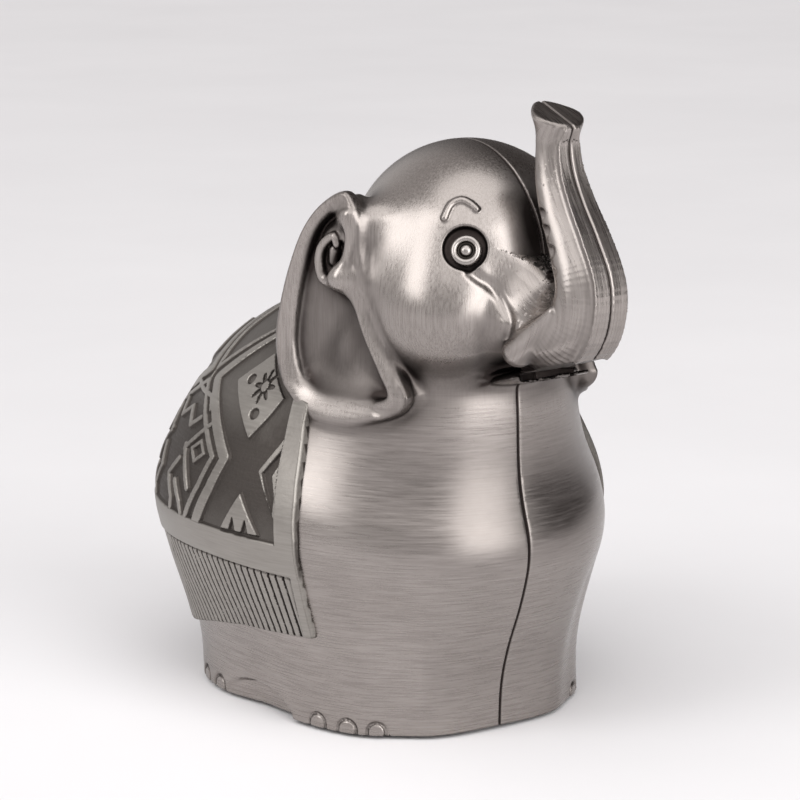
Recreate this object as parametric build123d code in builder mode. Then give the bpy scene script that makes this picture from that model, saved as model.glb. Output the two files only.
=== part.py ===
from build123d import *
from math import cos, pi, radians, sin
import os

# Elephant money box, cast as two hollow halves that meet on the centre plane.
# Millimetres. +Z is up, the elephant faces -Y and its right side is -X.
# The origin is on the table, under the middle of the model's length.

# ---------------- driving dimensions ----------------
WALL = 2.5                # thickness of the cast halves
SKIRT_GAP = 0.8           # the cast skirt stands this far above the table
CAVITY_FOOT = -1.0        # the hollow is cut from below the skirt's edge, so it is open there
CLOTH = 1.5               # the saddle cloth stands this far proud of the hide

EAR_ORIGIN = (-32, -14, 96)
EAR_FLARE = 17.0          # degrees that the ear turns out from the side
EAR_THICK = 12.0          # from the rim's face to the back of the ear
DISH_DEPTH = 3.0          # hollow of the ear behind its rim
SCROLL_DEPTH = 1.6        # hollow of the curl at the ear's root

PLATE_BOTTOM = 5.0        # height of the base plate's underside
PLATE_THICK = 2.0
PLATE_PLAY = 0.9          # gap between base plate and skirt
PLUG_HOLE_R = 16.0        # hole in the base plate
PLUG_CENTRE = (0, 10)
PAD_R = 6.0
PAD_EDGE = 1.0

SCREW_R = 1.5             # M3 pan head screws
SCREW_PLAY = 0.2          # hole in the plate over the screw, radial
SCREW_LENGTH = 9.0        # under the head
SCREW_HOLE = 8.0          # depth of the tapped hole in each boss
SCREW_HEAD_R = 2.8
SCREW_HEAD_HEIGHT = 1.8
DRIVE_WIDTH = 0.8         # cross recess in the head
DRIVE_LENGTH = 3.2
DRIVE_DEPTH = 1.0
BOSS_R = 5.4
BOSS_HEIGHT = 14.0

SLOT_LENGTH = 36.0        # coin slot along the back
SLOT_WIDTH = 5.0
SLOT_CENTRE_Y = 30.0
SLOT_FLOOR = 70.0         # the slot is cut from this height up

EYE_R = 3.4
EYE_SEAT = 0.6            # the eye is let into the head by this much
EYE_RIM = 0.5             # height of its rim above the seat's edge
EYE_SHANK_R = 1.5
EYE_SHANK_LENGTH = 3.6
EYE_PLAY = 0.05           # push fit of the eye, radial

PEG_R = 1.8               # cast pegs that line the halves up
PEG_PLAY = 0.08
PEG_LENGTH = 3.0
PEG_BOSS_R = 4.5
PEG_BOSS_DEPTH = 6.0

STOPPER_PLAY = 0.05       # soft push fit in the plug hole, radial
STOPPER_HEIGHT = 6.5      # above the base plate's underside
STOPPER_WALL = 2.4
STOPPER_FLANGE_R = 19.5
STOPPER_FLANGE = 1.4
STOPPER_CHAMFER = 1.0
TAB_LENGTH = 17.0         # finger tab across the stopper's underside
TAB_WIDTH = 2.6
TAB_HEIGHT = 2.2

ARCH_CENTRE_Y = 9.0       # shallow arch in the skirt between front and rear foot
ARCH_HALF_WIDTH = 13.0
ARCH_HEIGHT = 6.5
ARCH_DEPTH = 1.2
ARCH_CUT = 5.0            # width of the cut, from the arch's face outwards

# Body: height, front, rear, half width, squareness of the egg-shaped section.
BODY = [
    (0, -33.5, 50, 38.0, 3.0),
    (12, -34.5, 54, 39.0, 2.9),
    (24, -38.8, 62, 42.2, 2.6),
    (36, -43.5, 68.5, 46.0, 2.4),
    (48, -44.2, 70.5, 47.2, 2.2),
    (60, -40, 68, 44.0, 2.1),
    (72, -30.5, 61, 37.5, 2.0),
    (81, -22, 52, 30.0, 2.0),
    (88, -10, 41, 20.0, 2.0),
    (92, 4, 28, 9.0, 2.0),
]
WAIST = 48                # widest height; the back's thickness is measured from here
EGG = 0.08                # the body is this much wider behind than in front
OUTLINE_POINTS = 24

# Ellipsoids: centre and radii. The cheek and the tusk are the right-hand ones.
NECK = ((0, -13, 76), (28, 26, 26))
HEAD = ((0, -20.5, 105), (26, 28, 26.5))
CHEEK = ((-15, -30, 96.5), (12, 15, 12.5))
TRUNK_BEND = ((0, -60.2, 97.4), (9.9, 10.8, 9.9))

# Trunk root: y, z, half width, half height. Raised trunk: z, y, half width, half depth.
TRUNK_ROOT = [(-30, 101, 16, 13), (-46, 97.5, 12.5, 10.5), (-60, 97, 9.2, 9.0)]
TRUNK_RAISED = [
    (97, -61.2, 9.2, 9.2),
    (105, -63.4, 8.2, 8.3),
    (113, -60.5, 7.2, 7.0),
    (122, -56.0, 6.3, 5.8),
    (130, -53.2, 5.9, 5.3),
    (137, -52.8, 5.8, 5.6),
    (142, -54.0, 6.4, 6.8),
]
TUSK_BASE = (-10.6, -50, 92)
TUSK_TIP = (-9.4, -64, 99.5)
TUSK_BASE_R = 3.6
TUSK_TIP_R = 1.8

# Outlines in the ear's own plane: first number to the rear, second up.
EAR_REAR_EDGE = [
    (-4.3, 26), (2.2, 23), (7.7, 16.9), (11.6, 9), (14.6, 0.2), (16.2, -7.8), (15.6, -14.5),
    (12.8, -20.4), (6.9, -23.9), (-2.6, -25), (-12.6, -23.3), (-20, -19.6),
]
EAR_FRONT_EDGE = [(-20, -19.6), (-16.2, -10.2), (-10.7, 0), (-9, 12), (-4.3, 26)]
DISH_EDGE = [
    (4.3, 16.5), (9.3, 4.2), (11.5, -10.6), (5.4, -19.2), (-8.9, -19.2), (-15.4, -17.2),
    (-9, -5.3), (-3.6, 2.5),
]
SCROLL_CENTRE = (-1.8, 12.6)
SCROLL_R = 4.2

# Saddle cloth seen from the side: its front edge, then its lower edge, y and z.
CLOTH_FRONT = [
    (0, 100), (-7.4, 79.2), (-8.3, 70.3), (-11.1, 62.5), (-14.9, 45.6), (-14.9, 38.7), (-14.2, 22.8),
]
CLOTH_HEM = [(8, 20.8), (22, 18.2), (36, 14.7), (90, 13)]

SCREW_SITES = [(-29.8, -8), (29.8, -8), (-31.6, 27), (31.6, 27)]
PAD_SITES = {
    "front_right_pad": (-20, -20),
    "front_left_pad": (20, -20),
    "rear_right_pad": (-23, 38),
    "rear_left_pad": (23, 38),
}
PEG_SITES = [(63, 58), (-19, 125.5), (-38.5, 44)]      # y and z on the centre plane
EYE_PLACE = (-15.8, -42.1, 111.4)
EYE_FACING = (-0.6, -0.68, 0.42)

PLATE_TOP = PLATE_BOTTOM + PLATE_THICK
REACH = 120.0             # longer than any distance inside the model


# ---------------- forms of the body ----------------
def body_section(front, rear, half_width, squareness, inset):
    """Points of one egg-shaped section of the body, drawn in by inset."""
    middle = (front + rear) / 2
    half_length = (rear - front) / 2
    points = []
    for step in range(OUTLINE_POINTS):
        turn = 2 * pi * step / OUTLINE_POINTS
        along = abs(sin(turn)) ** (2 / squareness) * (1 if sin(turn) >= 0 else -1)
        across = abs(cos(turn)) ** (2 / squareness) * (1 if cos(turn) >= 0 else -1)
        width = half_width * (1 + EGG * along) - inset
        points.append((width * across, middle + (half_length - inset) * along))
    return points


def body(inset, foot):
    """Barrel of the body down to height foot, its walls drawn in by inset."""
    back_share = 1 - inset / (BODY[-1][0] - WAIST)
    with BuildPart() as form:
        for height, front, rear, half_width, squareness in BODY:
            level = foot if height == 0 else height
            if height > WAIST:
                level = WAIST + (height - WAIST) * back_share
            with BuildSketch(Plane.XY.offset(level)):
                with BuildLine():
                    Spline(*body_section(front, rear, half_width, squareness, inset), periodic=True)
                make_face()
        loft()
    return form.part


def ellipsoid(shape, inset=0):
    """Ellipsoid given by its centre and its three radii, drawn in by inset."""
    centre, radii = shape
    with BuildPart() as ball:
        Sphere(1, rotation=(0, 0, 90))
        scale(by=tuple(radius - inset for radius in radii))
    with BuildPart() as form:
        with Locations(centre):
            add(ball.part)
    return form.part


def hide(inset, foot):
    """Body, neck and head, without cheeks, trunk, ears or cloth."""
    with BuildPart() as form:
        add(body(inset, foot))
        add(ellipsoid(NECK, inset))
        add(ellipsoid(HEAD, inset))
    return form.part


def trunk():
    """Trunk: forward out of the head, round its bend and up past the forehead."""
    with BuildPart() as form:
        for y, z, half_width, half_height in TRUNK_ROOT:
            with BuildSketch(Plane.XZ.offset(-y)):
                with Locations((0, z)):
                    Ellipse(half_width, half_height)
        loft()
        for z, y, half_width, half_depth in TRUNK_RAISED:
            with BuildSketch(Plane.XY.offset(z)):
                with Locations((0, y)):
                    Ellipse(half_width, half_depth)
        loft()
        add(ellipsoid(TRUNK_BEND))
    return form.part


def tusk():
    """Short blunt tusk beside the trunk's root, on the right."""
    direction = Vector(*TUSK_TIP) - Vector(*TUSK_BASE)
    with BuildPart() as form:
        with BuildSketch(Plane(origin=TUSK_BASE, z_dir=direction)):
            Circle(TUSK_BASE_R)
        with BuildSketch(Plane(origin=TUSK_TIP, z_dir=direction)):
            Circle(TUSK_TIP_R)
        loft()
    return form.part


def arch_cutter():
    """Shallow arch between the feet on the right side, outside the skirt's wall."""
    arch_face = -(BODY[0][3] - ARCH_DEPTH)
    with BuildPart() as cutter:
        with BuildSketch(Plane.YZ.offset(arch_face)):
            with Locations((ARCH_CENTRE_Y, 0)):
                Ellipse(ARCH_HALF_WIDTH, ARCH_HEIGHT)
        extrude(amount=-ARCH_CUT)
    return cutter.part


skin = hide(0, SKIRT_GAP)
eye_plane = Plane(origin=EYE_PLACE, z_dir=EYE_FACING)
flare = radians(EAR_FLARE)
ear_plane = Plane(origin=EAR_ORIGIN, x_dir=(-sin(flare), cos(flare), 0), z_dir=(cos(flare), sin(flare), 0))

with BuildPart() as slot:
    with BuildSketch(Plane.XY.offset(SLOT_FLOOR)):
        with Locations((0, SLOT_CENTRE_Y)):
            SlotOverall(SLOT_LENGTH, SLOT_WIDTH, rotation=90)
    extrude(amount=REACH)

# ---------------- cast halves ----------------
with BuildPart() as outside:
    add(skin)
    add(trunk())
    add(tusk())
    add(ellipsoid(CHEEK))
    add(arch_cutter(), mode=Mode.SUBTRACT)

with BuildPart() as bosses:
    # Bosses that the base plate is screwed up against.
    with BuildSketch(Plane.XY.offset(PLATE_TOP)):
        with Locations(*SCREW_SITES):
            Circle(BOSS_R)
    extrude(amount=BOSS_HEIGHT)
    # Bosses for the pegs, across the centre plane.
    with BuildSketch(Plane.YZ):
        with Locations(*PEG_SITES):
            Circle(PEG_BOSS_R)
    extrude(amount=PEG_BOSS_DEPTH, both=True)
    add(skin, mode=Mode.INTERSECT)

with BuildPart() as cast_side:
    add(outside.part)
    add(hide(WALL, CAVITY_FOOT), mode=Mode.SUBTRACT)
    add(bosses.part)
    with BuildSketch(Plane.XY.offset(PLATE_TOP)):
        with Locations(*SCREW_SITES):
            Circle(SCREW_R)
    extrude(amount=SCREW_HOLE, mode=Mode.SUBTRACT)
    # Seat and hole for the eye.
    with BuildSketch(eye_plane.offset(-EYE_SEAT)):
        Circle(EYE_R + EYE_PLAY)
    extrude(amount=EYE_R, mode=Mode.SUBTRACT)
    with BuildSketch(eye_plane):
        Circle(EYE_SHANK_R + EYE_PLAY)
    extrude(amount=-(EYE_SHANK_LENGTH + WALL), mode=Mode.SUBTRACT)
    add(slot.part, mode=Mode.SUBTRACT)
    split(bisect_by=Plane.YZ, keep=Keep.BOTTOM)

with BuildPart() as right_shell:
    add(cast_side.part)
    with BuildSketch(Plane.YZ):
        with Locations(*PEG_SITES):
            Circle(PEG_R)
    extrude(amount=PEG_LENGTH)

with BuildPart() as left_shell:
    add(mirror(cast_side.part, about=Plane.YZ, mode=Mode.PRIVATE))
    with BuildSketch(Plane.YZ):
        with Locations(*PEG_SITES):
            Circle(PEG_R + PEG_PLAY)
    extrude(amount=PEG_LENGTH + PEG_PLAY, mode=Mode.SUBTRACT)

# ---------------- saddle cloth ----------------
with BuildPart() as right_saddle_cloth:
    add(body(-CLOTH, SKIRT_GAP))
    add(skin, mode=Mode.SUBTRACT)
    with BuildSketch(Plane.YZ):
        with BuildLine():
            Polyline(*CLOTH_FRONT, *CLOTH_HEM, (CLOTH_HEM[-1][0], CLOTH_FRONT[0][1]), close=True)
        make_face()
    extrude(amount=-REACH, mode=Mode.INTERSECT)
    add(slot.part, mode=Mode.SUBTRACT)

# ---------------- ears ----------------
with BuildPart() as right_ear:
    with BuildSketch(ear_plane):
        with BuildLine():
            Spline(*EAR_REAR_EDGE)
            Spline(*EAR_FRONT_EDGE)
        make_face()
    extrude(amount=EAR_THICK)
    with BuildSketch(ear_plane):
        with BuildLine():
            Spline(*DISH_EDGE, periodic=True)
        make_face()
    extrude(amount=DISH_DEPTH, mode=Mode.SUBTRACT)
    with BuildSketch(ear_plane):
        with Locations(SCROLL_CENTRE):
            Circle(SCROLL_R)
    extrude(amount=SCROLL_DEPTH, mode=Mode.SUBTRACT)
    add(outside.part, mode=Mode.SUBTRACT)
    add(right_saddle_cloth.part, mode=Mode.SUBTRACT)

# ---------------- eyes ----------------
with BuildPart() as right_eye:
    with BuildSketch(eye_plane.offset(-EYE_SEAT)):
        Circle(EYE_R)
    extrude(amount=EYE_SEAT + EYE_RIM)
    with BuildSketch(eye_plane.offset(-EYE_SEAT)):
        Circle(EYE_SHANK_R)
    extrude(amount=-EYE_SHANK_LENGTH)
    outermost = right_eye.faces().sort_by(Axis(EYE_PLACE, EYE_FACING))[-1]
    fillet(outermost.edges(), radius=EYE_RIM - EYE_PLAY)

# ---------------- base plate, its screws, stopper and feet ----------------
with BuildPart() as base_plate:
    with BuildSketch(Plane.XY.offset(PLATE_BOTTOM)):
        with BuildLine():
            Spline(*body_section(*BODY[0][1:], inset=WALL + PLATE_PLAY), periodic=True)
        make_face()
        with Locations(PLUG_CENTRE):
            Circle(PLUG_HOLE_R, mode=Mode.SUBTRACT)
        with Locations(*SCREW_SITES):
            Circle(SCREW_R + SCREW_PLAY, mode=Mode.SUBTRACT)
    extrude(amount=PLATE_THICK)

with BuildPart() as base_screws:
    with BuildSketch(Plane.XY.offset(PLATE_BOTTOM)):
        with Locations(*SCREW_SITES):
            Circle(SCREW_HEAD_R)
    extrude(amount=-SCREW_HEAD_HEIGHT)
    fillet(base_screws.faces().sort_by(Axis.Z)[0:len(SCREW_SITES)].edges(), radius=SCREW_HEAD_HEIGHT / 2)
    with BuildSketch(Plane.XY.offset(PLATE_BOTTOM)):
        with Locations(*SCREW_SITES):
            Circle(SCREW_R)
    extrude(amount=SCREW_LENGTH)
    with BuildSketch(Plane.XY.offset(PLATE_BOTTOM - SCREW_HEAD_HEIGHT)):
        with Locations(*SCREW_SITES):
            Rectangle(DRIVE_LENGTH, DRIVE_WIDTH)
            Rectangle(DRIVE_WIDTH, DRIVE_LENGTH)
    extrude(amount=DRIVE_DEPTH, mode=Mode.SUBTRACT)

with BuildPart() as stopper:
    with BuildSketch(Plane.XY.offset(PLATE_BOTTOM)):
        with Locations(PLUG_CENTRE):
            Circle(STOPPER_FLANGE_R)
    extrude(amount=-STOPPER_FLANGE)
    fillet(stopper.faces().sort_by(Axis.Z)[0].edges(), radius=STOPPER_FLANGE / 2)
    with BuildSketch(Plane.XY.offset(PLATE_BOTTOM)):
        with Locations(PLUG_CENTRE):
            Circle(PLUG_HOLE_R - STOPPER_PLAY)
            Circle(PLUG_HOLE_R - STOPPER_PLAY - STOPPER_WALL, mode=Mode.SUBTRACT)
    extrude(amount=STOPPER_HEIGHT)
    chamfer(stopper.faces().sort_by(Axis.Z)[-1].outer_wire().edges(), length=STOPPER_CHAMFER)
    with BuildSketch(Plane.XY.offset(PLATE_BOTTOM - STOPPER_FLANGE)):
        with Locations(PLUG_CENTRE):
            SlotOverall(TAB_LENGTH, TAB_WIDTH)
    extrude(amount=-TAB_HEIGHT)

pads = {}
for pad_name, site in PAD_SITES.items():
    with BuildPart() as pad:
        with BuildSketch():
            with Locations(site):
                Circle(PAD_R)
        extrude(amount=PLATE_BOTTOM)
        fillet(pad.faces().sort_by(Axis.Z)[0].edges(), radius=PAD_EDGE)
    pads[pad_name] = pad.part

# ---------------- one file for each piece ----------------
pieces = {
    "right_shell": right_shell.part,
    "left_shell": left_shell.part,
    "base_plate": base_plate.part,
    "base_screws": base_screws.part,
    "stopper": stopper.part,
    **pads,
}
paired = {
    "saddle_cloth": right_saddle_cloth.part,
    "ear": right_ear.part,
    "eye": right_eye.part,
}
for piece_name, piece in paired.items():
    pieces["right_" + piece_name] = piece
    pieces["left_" + piece_name] = mirror(piece, about=Plane.YZ)

os.makedirs("parts", exist_ok=True)
for piece_name, piece in pieces.items():
    piece.label = piece_name
    export_step(piece, f"parts/{piece_name}.step")
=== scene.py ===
import math

import bmesh
import bpy
import numpy as np
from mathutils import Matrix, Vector


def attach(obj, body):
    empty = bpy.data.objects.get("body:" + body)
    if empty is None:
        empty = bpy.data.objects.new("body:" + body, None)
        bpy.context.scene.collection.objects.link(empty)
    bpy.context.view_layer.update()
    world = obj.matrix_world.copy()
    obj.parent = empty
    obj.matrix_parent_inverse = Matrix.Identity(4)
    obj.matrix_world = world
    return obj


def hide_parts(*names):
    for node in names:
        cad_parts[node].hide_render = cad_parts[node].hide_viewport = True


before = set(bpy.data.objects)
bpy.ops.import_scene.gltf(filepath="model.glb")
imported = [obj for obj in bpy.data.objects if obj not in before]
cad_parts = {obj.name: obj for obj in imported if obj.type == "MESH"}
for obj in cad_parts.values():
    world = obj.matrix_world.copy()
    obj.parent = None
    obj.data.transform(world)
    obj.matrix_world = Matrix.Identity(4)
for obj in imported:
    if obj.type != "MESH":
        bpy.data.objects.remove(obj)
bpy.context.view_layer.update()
MM = 0.001

# The figure is drawn in millimetres in the row frame: the elephant faces -Y and its right side is
# -X. One half is drawn as a distance field of (|x|, y, z), negative inside. It is meshed, cut into
# the pieces that the object is cast in, and mirrored for the other half.

# ---------------- sizes, in millimetres ----------------
WALL = 2.5
FOOT = 0.8                # height of the cast skirt's edge above the table
FINENESS = 1.0
CELL = 1.2   # mesh cell before it is refined
SEAM_DEPTH = 0.35
SEAM_WIDTH = 0.3
BORDER_RISE = 1.5         # how far the saddle cloth's border stands proud
FIELD_RISE = 0.75         # and its sunken ground
FRINGE_RISE = 0.95
BOSS = (5.4, 7.0, 21.0)   # radius, foot and top of the screw bosses
BOSS_SITES = [(29.8, -8), (31.6, 27)]
SLOT = (2.5, 12.0, 48.0, 70.0)   # coin slot: half width, front, rear, lowest point of the cut

# z, front y, rear y, half width, squareness of the egg-shaped section
BODY_STATIONS = [
    (-6, -33.5, 50, 38.0, 3.0), (0, -33.5, 50, 38.0, 3.0), (10, -34, 52, 38.0, 2.9),
    (20, -36, 56, 39.0, 2.7), (32, -40.3, 62.3, 41.5, 2.4), (44, -43.5, 66.5, 44.2, 2.25),
    (60, -43, 67, 43.5, 2.2),
]
EGG = 0.10                # how much wider than its middle the section is towards the rear
COLUMN_TOP = 56           # the stations shape the body up to here
# y, z, half width, half depth, half width of the flat front band
TRUNK_STATIONS = [
    (-34, 101, 15, 12, 4.4), (-46, 97.3, 12.5, 10.9, 4.4), (-55.5, 95.6, 10.7, 9.9, 4.4),
    (-62.3, 98.6, 9.4, 8.2, 4.4), (-64.3, 105, 8.4, 7.1, 4.2), (-61.0, 112.3, 7.5, 6.3, 4.0),
    (-56.4, 119.8, 6.7, 5.6, 3.6), (-53.1, 127.2, 5.7, 4.9, 3.2), (-52.2, 134.0, 5.0, 4.3, 2.8),
    (-52.5, 138.3, 5.6, 5.3, 2.0), (-52.8, 144, 8.4, 7.8, 1.8),
]
BAND_RISE = 0.55
TRUNK_EGG = 0.35          # the trunk's section narrows this much towards its rear
# Rounded masses: centre, radii and, where given, the tilt in degrees that lowers the front
BARREL = ((0, 15, 49), (44.2, 52.5, 43), 4)
NECK = ((0, -13, 76), (28, 26, 26))
HEAD = ((0, -20.5, 105), (26, 28, 26.5))
CHEEK = ((15, -30, 96.5), (12, 15, 12.5))
LIP = ((0, -47.0, 83.4), (9.0, 12.6, 1.3), -15)
HOLLOW_TOP = 124          # the hollow ends at this height
CREASE = [
    (15.8, -43.9, 107), (14.3, -45.1, 105.5), (11.9, -46.5, 103.6), (10.9, -48.7, 100.5), (11.1, -51.6, 97.1),
    (11.2, -50.6, 93.6),
]
CREASE_DEPTH = 0.9
BROW = [
    (17.4, -36.4, 117.6), (15.6, -36.1, 120.2), (13.6, -37.1, 121.2), (12.4, -38.8, 120.5),
    (11.8, -40.2, 119.5),
]
EYE = Vector((15.8, -42.1, 111.4))
EYE_FACING = Vector((0.6, -0.68, 0.42)).normalized()
SOCKET = (4.7, 1.7)       # radius and depth of the round seat that the eye sits in
EYE_METAL = 8.5           # the hollow keeps this far from the middle of the eye
MOUTH = (-56, 86.2, 8.6, 11, 0.8)   # slit above the lip: y, z, half width, reach, half height
MOUTH_SLOPE = (0.956, 0.292)        # cosine and sine of the slit's slope
TUSK = ((9.2, -52.3, 90.8), (8.6, -63.2, 100.3), 3.6, 1.1)   # root, point and their radii
TUSK_FOLD = [(9.8, -51, 93.0), (10.4, -55.2, 94.6), (9.8, -59.4, 97.8), (8.9, -63.2, 101.0)]
TRUNK_PITS = [(8.3, -61.6, 108.4), (7.5, -60.0, 112.6), (6.7, -57.5, 116.4), (6.2, -55.4, 119.6)]
TRUNK_TIP = (-53, 140.2, 0.36, 0.94)   # the trunk's end: y and z of its middle, slope, and its cosine
TOES = [(34.8, -11.7), (31.7, -19.2), (27.6, -25.1), (38.6, 24.5), (36.8, 32.4)]
TOE_HEIGHT = 1.7          # height of the middle of a toenail
ARCH = (9.0, 13.0, 6.5)   # between front and rear foot: centre y, half width, height
LEG_DENTS = [((27.5, -31, 28), (24.2, -29.5, -4)), ((26, 54, 22), (24, 47, -4))]

# Boxes that hold a part of the figure: lowest and highest corner
HALF_BOX = ((-2.4, -77, -0.6), (56, 77, 148))
CLOTH_BOX = ((-2.4, -22, 8), (54, 78, 104))
TRUNK_BOX = ((-1, -80, 74), (24, -26, 150))
EAR_ROOT_BOX = ((10, -40, 70), (45, 5, 130))
EAR_BOX = ((16, -42, 60), (50, 12, 130))
EAR_CASTING_BOX = ((20, -42, 66), (50, 12, 130))

# Ear outlines in the ear's own plane: rearward, up
EAR_ORIGIN = (32, -14, 96)
EAR_FLARE = math.radians(17)
EAR_OUTER = [
    (-4.3, 26), (2.2, 23), (7.7, 16.9), (11.6, 9), (14.6, 0.2), (16.2, -7.8), (15.6, -14.5), (12.8, -20.4),
    (6.9, -23.9), (-2.6, -25), (-12.6, -23.3), (-19, -20.6), (-21.2, -17.6), (-20.1, -15.2), (-16.2, -10.2),
    (-12.9, -5.2), (-10.7, 0), (-9.4, 6), (-8.6, 13), (-8, 20),
]
EAR_INNER = [
    (-3.3, 21.5), (2.2, 19.2), (6.3, 13.4), (9.6, 4.2), (11.4, -4.9), (11.5, -10.6), (9.8, -16), (5.4, -19.2),
    (-1.2, -20.3), (-8.9, -19.4), (-15.6, -17.4), (-13.6, -12.4), (-9.6, -5.3), (-6.8, 0.9), (-4.6, 6),
    (-4.2, 14),
]
EAR_STEMS = [                    # from the head out to the ear: ends and radii
    ((17, -20, 111), (28.5, -17.3, 116.2), 8.5, 3.3),
    ((20, -22, 102.5), (31.2, -17.5, 103.2), 5.4, 2.9),
    ((18, -16, 84), (24.5, -13, 88), 5.0, 3.0),
]
# The cup that the curl lies in: its body, the bowl cut into it and the nub in its middle
EAR_CUP = ((-1.8, 11.5, -3.0), (6.6, 8.0, 3.6))
EAR_BOWL = ((-1.4, 11.2, 0.6), (3.9, 4.9, 2.6))
EAR_NUB = ((-0.4, 12.9, -1.4), (0.2, 10.4, -1.6), 1.5, 1.3)
EAR_RIDGE = [(-15.6, -17.4), (-13.6, -12.4), (-9.6, -5.3), (-6.8, 0.9), (-5.0, 6)]
SCROLL = [
    (-5.7, 21.1), (-6.2, 16.9), (-5.4, 12.4), (-3.4, 8.5), (-0.8, 6.2), (1.8, 6.8), (2.9, 10), (2.3, 13.1),
    (0.6, 15.1), (-1.4, 16.1), (-2.2, 14.5),
]

# Saddle cloth: its front edge and hem, then its ornament in (rearward, up) as measured on the cloth
CLOTH_FRONT = [                  # z, y
    (22.8, -14.2), (38.7, -14.9), (45.6, -14.9), (54, -13.6), (62.5, -11.1), (70.3, -8.6), (79.2, -7.4),
    (88, -2), (92, 7), (95, 14), (104, 30),
]
CLOTH_HEM = [(-20, 22.8), (8, 20.8), (22, 18.2), (36, 14.7), (90, 13)]   # y, z
FLANK = (12, 47)          # the ornament wraps round an upright axis: its y, and the radius measured at
CROWN = (15, 48, 46)      # and over a level one: its y and z, and the radius
CLOTH_MIDDLE = 36.0       # the ornament is mirrored about this line on the flank
RHOMBUS = [(19.6, 77.3), (3.7, 64.9), (-3.7, 75.2), (11.1, 86.4)]
STRIP_WIDE = [(16.7, 44.4), (12.5, 52.3), (9.7, 59.6), (15.3, 64.0), (31.5, 75.5), (19.5, 91.5), (12, 97)]
STRIP_SLIM = [
    (21.6, 44.2), (16.8, 52.3), (14.3, 59.1), (20.6, 63.5), (36.5, 73.8), (36.5, 76.5), (24, 92.6), (15, 99),
]
TRIANGLE = [(1.4, 53.4), (7.0, 45.0), (-5.1, 45.4)]
NOTCHES = [[(2.8, 47.9), (4.0, 45.0), (1.9, 45.1)], [(-1.2, 48.0), (0.0, 45.1), (-2.1, 45.2)]]
ARROW = [(-2.6, 58.6), (-9.5, 69.0), (-11, 58.0), (-10.5, 47.4)]
ARROW_HOLLOW = [(-4.0, 58.2), (-8.2, 63.6), (-8.6, 50.4)]
ARROW_KERNEL = [(-6.9, 58.0), (-8.6, 61.3), (-9.2, 57.0), (-8.8, 53.2)]
STAR = (6.0, 77.6)
DOTS = [(13.4, 78.6), (5.2, 70.8)]
DIAMOND = (21.3, 59.0, 3.9, 3.0)   # middle and half sizes
FRIEZE = (97.5, 104, 7.0)   # foot and top of the row of teeth, and the width of a tooth
BORDER_FOOT = 44.6        # inner edge of the border: along the hem, then up along the front
BORDER_FRONT = [(45.3, -9.5), (53.2, -8.8), (60.1, -8.1), (70.1, -7.4), (90, -7.0)]
FRINGE_TOP = 38
RIB_PITCH = 2.15
HOOKS = [
    [(28.2, 58.2), (23.5, 62.8), (19.6, 66.5)],
    [(28.4, 59.0), (23.8, 53.4), (21.5, 50.5)],
    [(28.2, 50.9), (24.6, 47.0), (23.6, 44.6)],
    [(29.0, 55.6), (32.5, 51.5), (29.0, 47.0), (29.4, 44.4)],
    [(27.0, 66.0), (31.0, 63.0), (36.0, 66.5)],
    [(24.5, 68.6), (28.0, 71.2), (36.0, 71.0)],
]


# ---------------- distance field helpers ----------------
def smooth_min(a, b, k):
    h = np.maximum(k - np.abs(a - b), 0.0) / k
    return np.minimum(a, b) - h * h * k * 0.25


def smooth_max(a, b, k):
    return -smooth_min(-a, -b, k)


def ramp(low, high, value):
    t = np.clip((value - low) / (high - low), 0.0, 1.0)
    return t * t * (3 - 2 * t)


def ellipsoid(p, centre, radii, tilt=0.0):
    """Distance to an ellipsoid; tilt in degrees about X lowers its front end."""
    x, y, z = p[0] - centre[0], p[1] - centre[1], p[2] - centre[2]
    if tilt:
        t = math.radians(tilt)
        y, z = y * math.cos(t) + z * math.sin(t), -y * math.sin(t) + z * math.cos(t)
    k0 = np.sqrt((x / radii[0]) ** 2 + (y / radii[1]) ** 2 + (z / radii[2]) ** 2)
    k1 = np.sqrt((x / radii[0] ** 2) ** 2 + (y / radii[1] ** 2) ** 2 + (z / radii[2] ** 2) ** 2)
    return k0 * (k0 - 1.0) / (k1 + 1e-9)


def rod(p, start, end, r_start=0.0, r_end=0.0):
    """Distance to a straight tapered rod with round ends, in two or three dimensions."""
    a, b = np.array(start, float), np.array(end, float)
    axis = b - a
    d = [p[i] - a[i] for i in range(len(a))]
    t = np.clip(sum(d[i] * axis[i] for i in range(len(a))) / (axis @ axis), 0.0, 1.0)
    gap = np.sqrt(sum((d[i] - axis[i] * t) ** 2 for i in range(len(a))))
    return gap - (r_start + (r_end - r_start) * t)


def chain(p, points, r_start=0.0, r_end=0.0):
    """Distance to a rod through several points, its radius changing from one end to the other."""
    radii = np.linspace(r_start, r_end, len(points))
    best = None
    for i in range(len(points) - 1):
        gap = rod(p, points[i], points[i + 1], radii[i], radii[i + 1])
        best = gap if best is None else np.minimum(best, gap)
    return best


def outline_distance(points, u, v):
    """Signed distance to a closed outline, negative inside."""
    best = np.full(u.shape, 1e9)
    inside = np.zeros(u.shape, bool)
    for (au, av), (bu, bv) in zip(points, points[1:] + points[:1]):
        eu, ev = bu - au, bv - av
        t = np.clip(((u - au) * eu + (v - av) * ev) / (eu * eu + ev * ev), 0.0, 1.0)
        best = np.minimum(best, (u - au - eu * t) ** 2 + (v - av - ev * t) ** 2)
        crosses = (av > v) != (bv > v)
        with np.errstate(divide="ignore", invalid="ignore"):
            inside ^= crosses & (u < au + eu * (v - av) / (ev if ev else 1e-9))
    return np.where(inside, -1.0, 1.0) * np.sqrt(best)


def spline(a, b, c, d, t):
    """A point between b and c on the smooth curve through four points."""
    return 0.5 * (
        2 * b + (c - a) * t + (2 * a - 5 * b + 4 * c - d) * t**2 + (3 * b - a - 3 * c + d) * t**3
    )


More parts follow.
